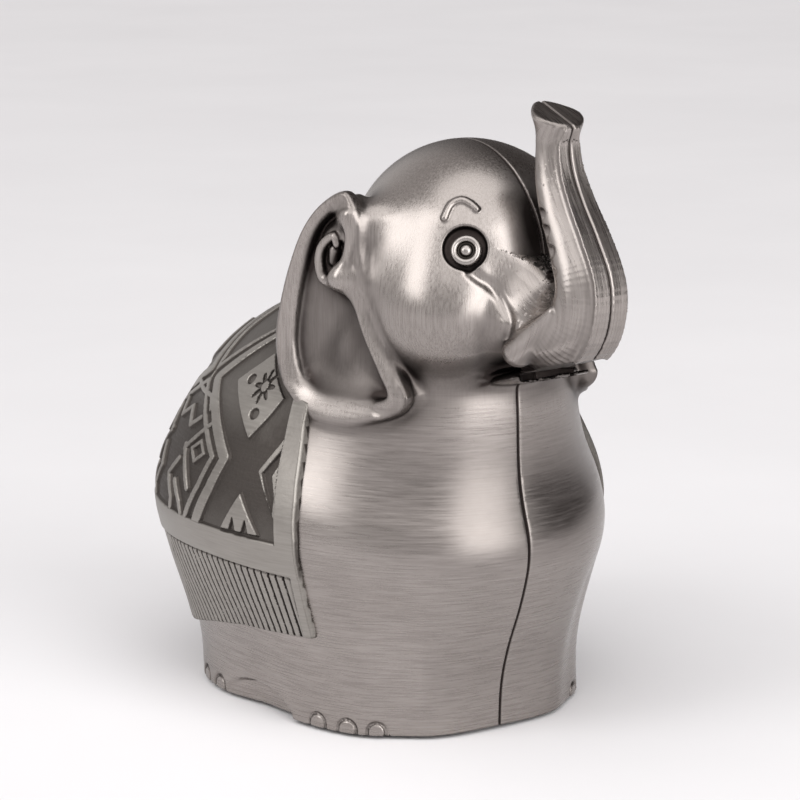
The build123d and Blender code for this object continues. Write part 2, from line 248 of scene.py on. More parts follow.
def rounded(points, steps=6):
    """A closed outline's smooth curve through its points."""
    pts = np.array(points, float)
    result = []
    for i in range(len(pts)):
        a, b, c, d = (pts[(i + k) % len(pts)] for k in (-1, 0, 1, 2))
        for t in np.arange(steps) / steps:
            result.append(tuple(spline(a, b, c, d, t)))
    return result


def bent(points, steps=4):
    """An open line's smooth curve through its points."""
    pts = [np.array(p, float) for p in points]
    pts = [2 * pts[0] - pts[1]] + pts + [2 * pts[-1] - pts[-2]]
    result = []
    for a, b, c, d in zip(pts, pts[1:], pts[2:], pts[3:]):
        for t in np.arange(steps) / steps:
            result.append(tuple(spline(a, b, c, d, t)))
    return result + [tuple(pts[-2])]


def between(t, knots, values):
    """Smooth cubic through the stations' values."""
    knots, values = np.array(knots, float), np.array(values, float)
    slopes = np.gradient(values, knots)
    t = np.clip(t, knots[0], knots[-1])
    i = np.clip(np.searchsorted(knots, t) - 1, 0, len(knots) - 2)
    width = knots[i + 1] - knots[i]
    s = (t - knots[i]) / width
    return (
        values[i] * (1 + 2 * s) * (1 - s) ** 2 + slopes[i] * width * s * (1 - s) ** 2
        + values[i + 1] * s * s * (3 - 2 * s) + slopes[i + 1] * width * s * s * (s - 1)
    )


# ---------------- the figure's distance field ----------------
def column(p):
    """The body's egg-shaped lower part, from the stations."""
    x, y, z = p
    knots = [s[0] for s in BODY_STATIONS]
    front, rear, half, square = (between(z, knots, [s[i] for s in BODY_STATIONS]) for i in (1, 2, 3, 4))
    middle, reach = (front + rear) / 2, (rear - front) / 2
    t = (y - middle) / reach
    across = np.abs(x) / (half * (1 + EGG * np.clip(t, -1.2, 1.2)))
    r = (across**square + np.abs(t) ** square + 1e-9) ** (1 / square)
    return (r - 1) * np.minimum(reach, half)


def body(p):
    """Body and neck."""
    f = ellipsoid(p, *BARREL)
    low = smooth_max(column(p), p[2] - COLUMN_TOP, 20)
    f = smooth_min(f, low, 14)
    return smooth_min(f, ellipsoid(p, *NECK), 14)


TRUNK_KNOTS = np.arange(len(TRUNK_STATIONS)) * 10.0
TRUNK_STEPS = np.linspace(0, TRUNK_KNOTS[-1], 81)
TRUNK_LINE = [between(TRUNK_STEPS, TRUNK_KNOTS, [s[i] for s in TRUNK_STATIONS]) for i in range(5)]


def trunk_place(y, z):
    """Nearest station along the trunk, and distance from its line, positive on the front side."""
    best = np.full(y.shape, 1e9)
    where = np.zeros(y.shape)
    off = np.zeros(y.shape)
    for i in range(len(TRUNK_STEPS) - 1):
        ay, az, by, bz = TRUNK_LINE[0][i], TRUNK_LINE[1][i], TRUNK_LINE[0][i + 1], TRUNK_LINE[1][i + 1]
        ey, ez = by - ay, bz - az
        t = np.clip(((y - ay) * ey + (z - az) * ez) / (ey * ey + ez * ez), 0.0, 1.0)
        dy, dz = y - ay - ey * t, z - az - ez * t
        gap = np.hypot(dy, dz)
        closer = gap < best
        best = np.where(closer, gap, best)
        where = np.where(closer, i + t, where)
        off = np.where(closer, np.where(dy * ez - dz * ey < 0, gap, -gap), off)
    return where / (len(TRUNK_STEPS) - 1) * TRUNK_KNOTS[-1], off


def trunk(p):
    x, y, z = p
    station, off = trunk_place(y, z)
    half, depth, band = (np.interp(station, TRUNK_STEPS, TRUNK_LINE[i]) for i in (2, 3, 4))
    half = half * (1 - TRUNK_EGG * ramp(0.1, -1.1, off / depth))
    f = (np.sqrt((x / half) ** 2 + (off / depth) ** 2) - 1) * np.minimum(half, depth)
    flat = np.maximum(np.abs(x) - band, np.maximum(off - depth - BAND_RISE, -off))
    f = smooth_min(f, flat, 0.9)
    tip_y, tip_z, slope, cosine = TRUNK_TIP
    tip = (z - tip_z - (y - tip_y) * slope) * cosine
    return smooth_max(f, tip, 1.3)


def ear_place(p):
    """Ear plane coordinates: rearward, up and outward."""
    dx, dy, dz = p[0] - EAR_ORIGIN[0], p[1] - EAR_ORIGIN[1], p[2] - EAR_ORIGIN[2]
    c, s = math.cos(EAR_FLARE), math.sin(EAR_FLARE)
    return dx * s + dy * c, dz, dx * c - dy * s


EAR_OUTER_CURVE = rounded(EAR_OUTER)
EAR_INNER_CURVE = rounded(EAR_INNER)
SCROLL_LINE = [(a, b, 0.15) for a, b in bent(SCROLL, 3)]


def ear(p):
    u, v, w = ear_place(p)
    outer = outline_distance(EAR_OUTER_CURVE, u, v)
    inner = outline_distance(EAR_INNER_CURVE, u, v)
    r = np.clip((inner - outer) / 2, 0.9, 2.7)
    thick = np.minimum(r, 2.0)
    signed = np.clip((inner + outer) / 2 / r, -1.2, 1.2)
    bevel, front = 0.9 * (1 - signed), 1.1 * (1 + signed)
    drop = bevel + (front - bevel) * ramp(6.0, 2.5, chain((u, v), EAR_RIDGE))
    across, through = np.abs(inner + outer) / 2 / r, np.abs(w + thick - 0.9 + drop) / thick
    rim = ((across**2.7 + through**2.7 + 1e-9) ** (1 / 2.7) - 1) * thick * 0.9
    floor = -4.5 - 2.0 * (1 - np.exp(np.minimum(inner, 0) / 4.0))
    dish = smooth_max(np.abs(w - floor) - 1.6, outer + 1.2, 1.0)
    f = smooth_min(rim, dish, 0.7)
    q = (u, v, w)
    f = smooth_min(f, ellipsoid(q, *EAR_CUP), 1.5)
    f = smooth_max(f, -ellipsoid(q, *EAR_BOWL), 0.6)
    f = smooth_min(f, chain(q, SCROLL_LINE, 1.45, 0.9), 0.6)
    return smooth_min(f, rod(q, *EAR_NUB), 0.5)


def ear_root(p):
    """The stems that carry the ear from the head."""
    f = rod(p, *EAR_STEMS[0])
    for stem in EAR_STEMS[1:]:
        f = smooth_min(f, rod(p, *stem), 5)
    return f


def in_box(p, low, high):
    """True for the points inside a box."""
    return np.all([(p[i] > low[i]) & (p[i] < high[i]) for i in range(3)], axis=0)


def gradient(field, pts):
    """The field's value and its slope at some points."""
    e = 0.03
    here = field(tuple(pts.T))
    slope = np.empty_like(pts)
    for i in range(3):
        ahead = pts.copy()
        ahead[:, i] += e
        slope[:, i] = (field(tuple(ahead.T)) - here) / e
    return here, slope


def project(field, pts, passes):
    """Moves points onto the field's surface."""
    for _ in range(passes):
        here, slope = gradient(field, pts)
        step = here / np.maximum((slope * slope).sum(1), 0.2)
        pts = pts - slope * np.clip(step, -0.6, 0.6)[:, None]
    return pts


def only(shape, f, p, box, k):
    """Joins a shape to the field, working it out only inside a box around it."""
    inside = in_box(p, *box)
    f = f.copy()
    if inside.any():
        blend = k if np.isscalar(k) else k[inside]
        f[inside] = smooth_min(f[inside], shape(tuple(c[inside] for c in p)), blend)
    return f


def core(p):
    """Body, neck, head and cheek with the dents between the legs, without ears and trunk."""
    x, y, z = p
    f = smooth_min(body(p), ellipsoid(p, *HEAD), 7)
    f = smooth_min(f, ellipsoid(p, *CHEEK), 8)
    for start, end in LEG_DENTS:
        f = f + 1.5 * np.exp(-(rod(p, start, end) / 5.5) ** 2)
    arch = np.sqrt(((y - ARCH[0]) / ARCH[1]) ** 2 + (np.maximum(z, 0) / ARCH[2]) ** 2)
    return f + 2.6 * ramp(1.06, 0.9, arch) * ramp(30, 34, x) * ramp(24, 6, y)


def muzzle(p):
    """The core with the trunk on it."""
    blend = 6.5 - 3.0 * ramp(7, 14, p[0]) * ramp(112, 100, p[2])
    return only(trunk, core(p), p, TRUNK_BOX, blend)


BROW_LINE = project(core, np.array(bent(BROW)), 8).tolist()
CREASE_LINE = project(muzzle, np.array(bent(CREASE)), 8).tolist()


def figure(p):
    """The whole outer skin of one half; x is taken as positive."""
    x, y, z = p
    f = muzzle(p)
    f = smooth_min(f, ellipsoid(p, *LIP), 1.6)
    mouth_y, mouth_z, half_width, reach, half_height = MOUTH
    cosine, sine = MOUTH_SLOPE
    forward = (y - mouth_y) * cosine - (z - mouth_z) * sine
    upward = (y - mouth_y) * sine + (z - mouth_z) * cosine
    round_gap = (np.sqrt((x / half_width) ** 2 + (forward / reach) ** 2) - 1) * half_width
    f = smooth_max(f, -np.maximum(np.abs(upward) - half_height, round_gap), 0.4)
    f = smooth_min(f, rod(p, *TUSK), 0.8)
    f = smooth_min(f, chain(p, TUSK_FOLD, 1.0, 0.6), 0.7)
    f = only(ear_root, f, p, EAR_ROOT_BOX, 6.0)
    f = only(ear, f, p, EAR_BOX, 2.2)

    # the eye's seat, the brow, the crease of the cheek
    dx, dy, dz = x - EYE.x, y - EYE.y - 0.5, z - EYE.z - 0.4
    axial = dx * EYE_FACING.x + dy * EYE_FACING.y + dz * EYE_FACING.z
    radial = np.sqrt(np.maximum(dx**2 + dy**2 + dz**2 - axial**2, 0))
    seat = smooth_max(radial - SOCKET[0], -axial - SOCKET[1], 0.8)
    f = smooth_max(f, -np.maximum(seat, axial - 8), 0.6)
    f = smooth_min(f, chain(p, BROW_LINE, 0.85, 0.75), 0.4)
    f = f + CREASE_DEPTH * np.exp(-chain(p, CREASE_LINE) ** 2)
    for pit in TRUNK_PITS:             # wrinkles where the trunk's rear edge meets the forehead
        f = smooth_max(f, -ellipsoid(p, pit, (1.5, 2.0, 1.5), tilt=-35), 0.5)

    for tx, ty in TOES:
        gap = np.sqrt((x - tx) ** 2 + (y - ty) ** 2 + np.maximum(z - TOE_HEIGHT, 0) ** 2)
        f = f + 0.5 * np.exp(-((gap - 2.35) / 0.42) ** 2) * ramp(6, 4.5, z)
    return f + SEAM_DEPTH * np.exp(-(x / SEAM_WIDTH) ** 2)


def slot_cut(p, grow=0.0):
    """The coin slot, open above."""
    half, front, rear, low = SLOT
    y_gap = np.abs(p[1] - (front + rear) / 2) - (rear - front) / 2 - grow
    corner = np.hypot(np.maximum(np.abs(p[0]) - half - grow + 1.2, 0), np.maximum(y_gap + 1.2, 0)) - 1.2
    return np.maximum(corner, low - p[2])


def bosses(p):
    """The screw bosses that the base plate is held by."""
    best = None
    for x, y in BOSS_SITES:
        gap = np.hypot(p[0] - x, p[1] - y) - BOSS[0]
        best = gap if best is None else np.minimum(best, gap)
    return smooth_max(np.maximum(best, p[2] - BOSS[2]), BOSS[1] - p[2], 0.3)


def shell(p):
    """One hollow cast half, open below."""
    skin = figure(p)
    hollow = smooth_max(core(p) + WALL, p[2] - HOLLOW_TOP, 4)
    hollow = smooth_max(hollow, -bosses(p), 0.6)
    eye_gap = np.sqrt((p[0] - EYE.x) ** 2 + (p[1] - EYE.y) ** 2 + (p[2] - EYE.z) ** 2)
    hollow = smooth_max(hollow, EYE_METAL - eye_gap, 1.0)
    f = smooth_max(skin, -hollow, 0.3)
    f = smooth_max(f, FOOT - p[2], 0.5)
    return smooth_max(f, -slot_cut(p), 0.5)


# ---------------- the saddle cloth's field ----------------
def cloth_place(p):
    """Place on the cloth in millimetres: rearward along the flank, and up it."""
    x, y, z = np.abs(p[0]), p[1], p[2]
    axis_y, radius = FLANK
    along = axis_y + radius * np.arctan2(y - axis_y, x)
    axis_y, axis_z, radius = CROWN
    up = axis_z + radius * np.arctan2(z - axis_z, np.hypot(x, y - axis_y))
    return along, up


def raised(d, edge=0.3):
    return ramp(edge, -edge, d)


def ornament(along, up):
    """Height of the ornament above the sunken ground, 0 to 1."""
    s = CLOTH_MIDDLE - np.abs(along - CLOTH_MIDDLE)
    place = (s, up)
    h = raised(outline_distance(RHOMBUS, s, up))
    star = np.hypot(s - STAR[0], up - STAR[1])
    angle = np.arctan2(up - STAR[1], s - STAR[0])
    petal = 3.0 + 1.3 * np.cos(8 * angle)
    h = h * (1 - raised(np.maximum(star - petal, 1.5 - star), 0.3) * 0.9)
    for cu, cv in DOTS:
        h = h * (1 - raised(np.hypot((s - cu) / 1.2, up - cv) - 1.3))
    h = np.maximum(h, raised(chain(place, STRIP_WIDE) - 1.55))
    h = np.maximum(h, raised(chain(place, STRIP_SLIM) - 0.85))
    h = np.maximum(h, raised(outline_distance(TRIANGLE, s, up)))
    for notch in NOTCHES:
        h = np.minimum(h, 1 - raised(outline_distance(notch, s, up), 0.2))
    mark = raised(outline_distance(ARROW, s, up)) * (1 - raised(outline_distance(ARROW_HOLLOW, s, up)))
    h = np.maximum(h, np.maximum(mark, raised(outline_distance(ARROW_KERNEL, s, up), 0.2)))
    middle, level, wide, high = DIAMOND
    diamond = np.abs(s - middle) / wide + np.abs(up - level) / high
    h = np.maximum(h, raised((np.abs(diamond - 0.78) - 0.24) * 2.4))
    for hook in HOOKS:
        h = np.maximum(h, raised(chain(place, hook) - 0.75))
    foot, top, pitch = FRIEZE
    teeth = np.abs((along / pitch) % 1.0 - 0.5) * pitch
    frieze = np.maximum(teeth - (top - up) * 0.45, np.maximum(up - top, foot - up))
    return np.maximum(h, raised(frieze * 0.8))


def cloth_edges(p):
    """Distances in from the cloth's front edge and up from its hem."""
    front = np.interp(p[2], [c[0] for c in CLOTH_FRONT], [c[1] for c in CLOTH_FRONT])
    hem = np.interp(p[1], [c[0] for c in CLOTH_HEM], [c[1] for c in CLOTH_HEM])
    return p[1] - front, p[2] - hem


def cloth_rise(p):
    """Height of the cloth's face above the hide."""
    along, up = cloth_place(p)
    s = CLOTH_MIDDLE - np.abs(along - CLOTH_MIDDLE)
    inner = np.interp(up, [c[0] for c in BORDER_FRONT], [c[1] for c in BORDER_FRONT])
    border = np.minimum(s - inner, up - BORDER_FOOT)
    half, front, rear = SLOT[:3]
    panel = np.maximum(p[0] - half - 4.0, np.abs(p[1] - (front + rear) / 2) - (rear - front) / 2 - 5)
    flat = np.minimum(border, panel)
    rise = FIELD_RISE + (BORDER_RISE - FIELD_RISE) * np.maximum(raised(flat), ornament(along, up) * 0.88)
    # ribs of the fringe lean forward on their way down
    lean = np.minimum(FRINGE_TOP - up, 20)
    rib = np.abs(((s + lean * 0.22) / RIB_PITCH) % 1.0 - 0.5) * 2
    fringe = FRINGE_RISE - 0.62 * ramp(0.72, 0.98, rib) + 0.2 * (1 - rib)
    below = ramp(38.1, 37.7, up)
    fringe = fringe - 0.3 * np.exp(-((up - 37.6) / 0.35) ** 2)
    front_roll = ramp(2.6, 2.0, cloth_edges(p)[0])
    fringe = np.maximum(fringe, 1.35 * front_roll)
    return rise * (1 - below) + fringe * below


def cloth(p, back=-0.25):
    """The relief plate, its back this far below the hide."""
    inside, above = cloth_edges(p)
    skin = core(p)
    f = smooth_max(skin - cloth_rise(p), -inside * 0.95, 0.35)
    f = smooth_max(f, -above, 0.5)
    f = smooth_max(f, back - skin, 0.1)
    u, v, w = ear_place(p)
    covered = np.maximum(outline_distance(EAR_OUTER_CURVE, u, v) + 2.2, -9 - w)
    f = smooth_max(f, -covered, 0.4)
    f = f + SEAM_DEPTH * np.exp(-(p[0] / SEAM_WIDTH) ** 2)
    return smooth_max(f, -slot_cut(p, 0.15), 0.4)


# ---------------- meshing ----------------
def surface_net(field, low, high, cell):
    """Triangles of the field's zero surface: one point in each cell that it passes through."""
    axes = [np.arange(low[i], high[i] + cell, cell) for i in range(3)]
    grid = np.meshgrid(*axes, indexing="ij")
    f = field(tuple(grid))
    shape = np.array(f.shape)
    total = np.zeros(tuple(shape - 1) + (3,))
    count = np.zeros(tuple(shape - 1))
    corner = [(i, j, k) for i in (0, 1) for j in (0, 1) for k in (0, 1)]

    def part(a, c):
        return a[c[0]:shape[0] - 1 + c[0], c[1]:shape[1] - 1 + c[1], c[2]:shape[2] - 1 + c[2]]

    for a in corner:
        for axis in range(3):
            if a[axis]:
                continue
            b = tuple(1 if i == axis else a[i] for i in range(3))
            fa, fb = part(f, a), part(f, b)
            cross = (fa < 0) != (fb < 0)
            t = np.where(cross, fa / np.where(cross, fa - fb, 1), 0)
            for i in range(3):
                total[..., i] += np.where(cross, a[i] + (t if i == axis else 0), 0)
            count += cross
    used = count > 0
    index = np.full(used.shape, -1)
    index[used] = np.arange(used.sum())
    base = np.argwhere(used)
    pts = np.array(low) + (base + total[used] / count[used][:, None]) * cell
    quads = []
    for axis in range(3):
        o1, o2 = [i for i in range(3) if i != axis]
        fa = f.take(range(0, shape[axis] - 1), axis)
        fb = f.take(range(1, shape[axis]), axis)
        edges = np.argwhere((fa < 0) != (fb < 0))
        around = edges[:, [o1, o2]]
        ok = (around > 0).all(1) & (around < shape[[o1, o2]] - 1).all(1)
        edges = edges[ok]
        steps = np.zeros((4, 3), int)
        steps[1, o1] = steps[2, o1] = steps[2, o2] = steps[3, o2] = 1
        ring = [index[tuple((edges - s).T)] for s in steps]
        quad = np.stack(ring, 1)
        filled = fa[tuple(edges.T)] < 0
        flip = filled if axis == 1 else ~filled
        quad[flip] = quad[flip][:, ::-1]
        quads.append(quad)
    quads = np.concatenate(quads)
    quads = quads[(quads >= 0).all(1)]
    d1 = np.linalg.norm(pts[quads[:, 0]] - pts[quads[:, 2]], axis=1)
    d2 = np.linalg.norm(pts[quads[:, 1]] - pts[quads[:, 3]], axis=1)
    turn = d2 < d1
    quads[turn] = np.roll(quads[turn], 1, 1)
    return pts, np.concatenate([quads[:, [0, 1, 2]], quads[:, [0, 2, 3]]])


def refine(pts, tris, size):
    """Splits every edge that is longer than the size wanted at its middle."""
    edges = np.sort(tris[:, [0, 1, 1, 2, 2, 0]].reshape(-1, 2), axis=1)
    unique, back = np.unique(edges, axis=0, return_inverse=True)
    back = back.reshape(-1, 3)
    middle = pts[unique].mean(1)
    length = np.linalg.norm(pts[unique[:, 0]] - pts[unique[:, 1]], axis=1)
    split = length > FINENESS * size(middle)
    number = np.full(len(unique), -1)
    number[split] = len(pts) + np.arange(split.sum())
    new = number[back]
    pts = np.concatenate([pts, middle[split]])
    marks = (new >= 0).sum(1)
    out = [tris[marks == 0]]
    t, n = tris[marks == 3], new[marks == 3]
    out += [np.stack(c, 1) for c in (
        (t[:, 0], n[:, 0], n[:, 2]), (n[:, 0], t[:, 1], n[:, 1]), (n[:, 2], n[:, 1], t[:, 2]),
        (n[:, 0], n[:, 1], n[:, 2]),
    )]
    for k in range(3):
        o = [(k + i) % 3 for i in range(3)]
        one = (marks == 1) & (new[:, k] >= 0)
        t, n = tris[one][:, o], new[one][:, o]
        out += [np.stack(c, 1) for c in ((t[:, 0], n[:, 0], t[:, 2]), (n[:, 0], t[:, 1], t[:, 2]))]
        two = (marks == 2) & (new[:, k] < 0)
        t, n = tris[two][:, o], new[two][:, o]      # edge 0-1 is whole; 1-2 and 2-0 are split
        out += [np.stack(c, 1) for c in (
            (t[:, 0], t[:, 1], n[:, 1]), (t[:, 0], n[:, 1], n[:, 2]), (n[:, 2], n[:, 1], t[:, 2])
        )]
    return pts, np.concatenate(out)


def mesh_field(field, box, size, passes=5):
    """Points and triangles of the field's surface inside a box, as fine as the size asks."""
    pts, tris = surface_net(field, *box, CELL)
    pts = project(field, pts, 3)
    for _ in range(passes):
        done = len(pts)
        pts, tris = refine(pts, tris, size)
        if len(pts) == done:
            break
        pts[done:] = project(field, pts[done:], 2)
    return pts, tris


def islands(tris, count):
    """Number of the connected part that each point belongs to."""
    label = np.arange(count)
    while True:
        lowest = label[tris].min(1)
        new = label.copy()
        for i in range(3):
            np.minimum.at(new, tris[:, i], lowest)
        new = new[new]
        if (new == label).all():
            return label
        label = new


def hollowness(field, pts, normals, reach):
    """0 on flat or crowned metal, towards 1 deep in a recess."""
    out = pts + normals * reach
    return np.clip(1 - field(tuple(out.T)) / reach, -0.3, 1.0)


def make_piece(name, field, pts, tris, mirror, cut=True, sunken=None):
    """A Blender object of one half, on the right or mirrored to the left, cut off at the centre plane."""
    pts = pts.copy()
    side = 1.0 if mirror else -1.0
    pts[:, 0] *= side
    if not mirror:
        tris = tris[:, ::-1]
    mesh = bpy.data.meshes.new(name)
    mesh.from_pydata((pts * MM).tolist(), [], tris.tolist())
    if cut:
        b = bmesh.new()
        b.from_mesh(mesh)
        geom = b.verts[:] + b.edges[:] + b.faces[:]
        place, facing = Vector((side * 0.02 * MM, 0, 0)), Vector((side, 0, 0))
        bmesh.ops.bisect_plane(b, geom=geom, dist=1e-9, plane_co=place, plane_no=facing, clear_inner=True)
        b.to_mesh(mesh)
        b.free()
    mesh.update()
    places = np.empty(len(mesh.vertices) * 3)
    mesh.vertices.foreach_get("co", places)
    places = places.reshape(-1, 3) / MM
    places[:, 0] = np.abs(places[:, 0])
    slope = gradient(field, places)[1]
    normals = slope / np.maximum(np.linalg.norm(slope, axis=1), 1e-6)[:, None]
    # painted shade and patina: the colour is darkened where the surface is hollow at 1, 3 and 8 mm
    recess = (
        0.45 * hollowness(field, places, normals, 1.0) + 0.35 * hollowness(field, places, normals, 3.0)
        + 0.35 * hollowness(field, places, normals, 8.0)
    )
    recess = recess + 0.9 * np.exp(-(places[:, 0] / 0.2) ** 2)
    if sunken is not None:
        recess = recess + sunken(places)
    layer = mesh.attributes.new("patina_and_shade", "FLOAT", "POINT")
    layer.data.foreach_set("value", np.clip(recess, 0, 1).astype(np.float32))
    normals[:, 0] *= side
    mesh.polygons.foreach_set("use_smooth", [True] * len(mesh.polygons))
    mesh.normals_split_custom_set_from_vertices(normals.tolist())
    piece = bpy.data.objects.new(name, mesh)
    bpy.context.scene.collection.objects.link(piece)
    return piece


# ---------------- how fine the mesh is, by place ----------------
WHOLE = 9                 # wanted edge length of triangles that are hidden and never split


def near(m, centre, radius):
    return np.linalg.norm(m - np.array(centre), axis=1) < radius


def figure_size(m):
    """Wanted edge length at some points of the figure."""
    x, y, z = m.T
    inside, above = cloth_edges((x, y, z))
    skin = figure((np.abs(x), y, z))
    size = np.full(len(m), 0.95)
    size[(y < -28) & (z > 80)] = 0.62
    size[near(m, EYE, 9) | near(m, (15, -38, 119.5), 7) | near(m, (11, -54, 95), 10)] = 0.42
    size[(y < -44) & (z > 80) & (x < 9)] = 0.45
    size[z < 7.5] = 0.6
    u, v, w = ear_place((x, y, z))
    size[(x > 24) & (z > 68) & (z < 124) & (np.abs(w) < 9) & (y < 6)] = 0.6
    size[(x > 24) & (np.hypot(u + 1.5, v - 12) < 11) & (w > -6)] = 0.42
    size[(np.abs(x) < 0.7) & (skin > -0.8)] = 0.4
    size[(inside > 2) & (above > 2) & (x > 1.5)] = WHOLE
    size[skin < -1.2] = WHOLE
    size[x < -0.6] = WHOLE
    return size


def cloth_size(m):
    """Wanted edge length at some points of the cloth."""
    size = np.full(len(m), 0.4)
    skin = core(tuple(m.T))
    size[skin < 0.3] = WHOLE
    size[m[:, 0] < -0.6] = WHOLE
    return size


# ---------------- materials ----------------
class Nodes:
    """Short names for making shader nodes."""

    def __init__(self, name):
        self.material = bpy.data.materials.new(name)
        self.material.use_nodes = True
        self.tree = self.material.node_tree
        self.shader = self.tree.nodes["Principled BSDF"]
        self.place = self.add("ShaderNodeTexCoord").outputs["Object"]

    def add(self, kind, **values):
        node = self.tree.nodes.new(kind)
        for key, value in values.items():
            setattr(node, key, value)
        return node

    def link(self, source, target):
        self.tree.links.new(source, target)

    def noise(self, scale, detail=3.0, stretch=(1, 1, 1)):
        mapping = self.add("ShaderNodeMapping")
        mapping.inputs["Scale"].default_value = stretch
        self.link(self.place, mapping.inputs["Vector"])
        node = self.add("ShaderNodeTexNoise")
        node.inputs["Scale"].default_value = scale
        node.inputs["Detail"].default_value = detail
        node.inputs["Roughness"].default_value = 0.55
        self.link(mapping.outputs["Vector"], node.inputs["Vector"])
        return node.outputs["Fac"]

    def math(self, operation, a, b):
        node = self.add("ShaderNodeMath", operation=operation)
        for socket, value in zip(node.inputs, (a, b)):
            if isinstance(value, (int, float)):
                socket.default_value = value
            else:
                self.link(value, socket)
        return node.outputs[0]

    def span(self, value, low, high, out_low=0.0, out_high=1.0):
        node = self.add("ShaderNodeMapRange")
        for key, number in zip(("From Min", "From Max", "To Min", "To Max"), (low, high, out_low, out_high)):
            node.inputs[key].default_value = number
        self.link(value, node.inputs["Value"])
        return node.outputs["Result"]

    def blend(self, factor, a, b):
        """One grey value where the factor is 1, the other where it is 0."""
        rest = self.math("SUBTRACT", 1.0, factor)
        return self.math("ADD", self.math("MULTIPLY", a, factor), self.math("MULTIPLY", b, rest))

    def mix(self, factor, a, b):
        node = self.add("ShaderNodeMix", data_type="RGBA")
        self.link(factor, node.inputs["Factor"])
        for socket, value in ((node.inputs[6], a), (node.inputs[7], b)):
            if isinstance(value, tuple):
                socket.default_value = (*value, 1)
            else:
                self.link(value, socket)
        return node.outputs[2]

    def bump(self, height, distance, strength=1.0, under=None):
        node = self.add("ShaderNodeBump")
        node.inputs["Distance"].default_value = distance
        node.inputs["Strength"].default_value = strength
        self.link(height, node.inputs["Height"])
        if under is not None:
            self.link(under, node.inputs["Normal"])
        return node.outputs["Normal"]


def pewter(name, light, dark, patina_and_shade_colour, rough, patina_and_shade_reach, brush=1.0, grainy=False):
    """Antique pewter: brushed metal with a dark patina and painted shade in its recesses, grainy there if
    asked.
    """
    n = Nodes(name)
    patina_and_shade = n.add("ShaderNodeAttribute", attribute_name="patina_and_shade").outputs["Fac"]
    cloud = n.noise(38, 4)
    fleck = n.noise(420, 4)
    upright = n.noise(1.0, 3, stretch=(2600, 2600, 90))
    along_trunk = n.noise(1.0, 3, stretch=(2600, 140, 90))
    level = n.noise(1.0, 3, stretch=(120, 120, 2400))
    height = n.add("ShaderNodeSeparateXYZ")
    n.link(n.place, height.inputs[0])
    wobble = n.math("MULTIPLY", n.math("SUBTRACT", cloud, 0.5), 0.02)
    on_trunk = n.span(height.outputs["Y"], -0.044, -0.051)
    upright = n.blend(on_trunk, along_trunk, upright)
    on_head = n.span(n.math("ADD", height.outputs["Z"], wobble), 0.070, 0.086)
    brushed = n.blend(on_head, upright, level)

    wear = n.math("ADD", n.math("MULTIPLY", brushed, 0.8), n.math("MULTIPLY", cloud, 0.5))
    base = n.mix(n.span(wear, 0.35, 0.95), dark, light)
    # painted shade and patina: the darkened recesses take the dark recess colour
    patina_and_shade_mask = n.math("ADD", patina_and_shade, n.math("MULTIPLY", n.math("SUBTRACT", fleck, 0.5), 0.05))
    patina_and_shade_mask = n.math("ADD", patina_and_shade_mask, n.math("MULTIPLY", n.math("SUBTRACT", cloud, 0.5), 0.1))
    patina_and_shade_mask = n.span(patina_and_shade_mask, *patina_and_shade_reach)
    n.link(n.mix(patina_and_shade_mask, base, patina_and_shade_colour), n.shader.inputs["Base Color"])
    n.shader.inputs["Metallic"].default_value = 1.0
    gloss = n.span(brushed, 0.3, 0.7, rough - 0.05, rough + 0.07)
    n.link(n.math("ADD", gloss, n.math("MULTIPLY", patina_and_shade_mask, 0.22)), n.shader.inputs["Roughness"])
    normal = n.bump(brushed, 0.00002 * brush, 0.9)
    if grainy:
        grain = n.noise(1400, 2)
        grain = n.math("MULTIPLY", grain, n.span(patina_and_shade, 0.05, 0.3))
        normal = n.bump(grain, 0.00012, 0.8, under=normal)
    n.link(normal, n.shader.inputs["Normal"])
    return n.material


def painted_steel():
    n = Nodes("black_satin_paint")
    cloud = n.noise(60, 4)
    colour = n.mix(n.span(cloud, 0.3, 0.7), (0.012, 0.012, 0.014), (0.03, 0.03, 0.032))
    n.link(colour, n.shader.inputs["Base Color"])
    n.link(n.span(n.noise(500, 3), 0.3, 0.7, 0.38, 0.55), n.shader.inputs["Roughness"])
    n.link(n.bump(n.noise(900, 2), 0.00004, 0.6), n.shader.inputs["Normal"])
    return n.material


def zinc():
    n = Nodes("zinc_plate")
    cloud = n.noise(300, 3)
    colour = n.mix(n.span(cloud, 0.3, 0.7), (0.42, 0.43, 0.45), (0.62, 0.62, 0.6))
    n.link(colour, n.shader.inputs["Base Color"])
    n.shader.inputs["Metallic"].default_value = 1.0
    n.link(n.span(cloud, 0.3, 0.7, 0.24, 0.4), n.shader.inputs["Roughness"])
    n.link(n.bump(n.noise(2500, 2), 0.00002, 0.5), n.shader.inputs["Normal"])
    return n.material


def rubber():
    n = Nodes("black_rubber_matt")
    cloud = n.noise(120, 4)
    colour = n.mix(n.span(cloud, 0.3, 0.75), (0.012, 0.012, 0.012), (0.035, 0.034, 0.033))
    n.link(colour, n.shader.inputs["Base Color"])
    n.link(n.span(n.noise(600, 3), 0.3, 0.7, 0.62, 0.8), n.shader.inputs["Roughness"])
    n.link(n.bump(n.noise(1800, 2), 0.00005, 0.7), n.shader.inputs["Normal"])
    return n.material


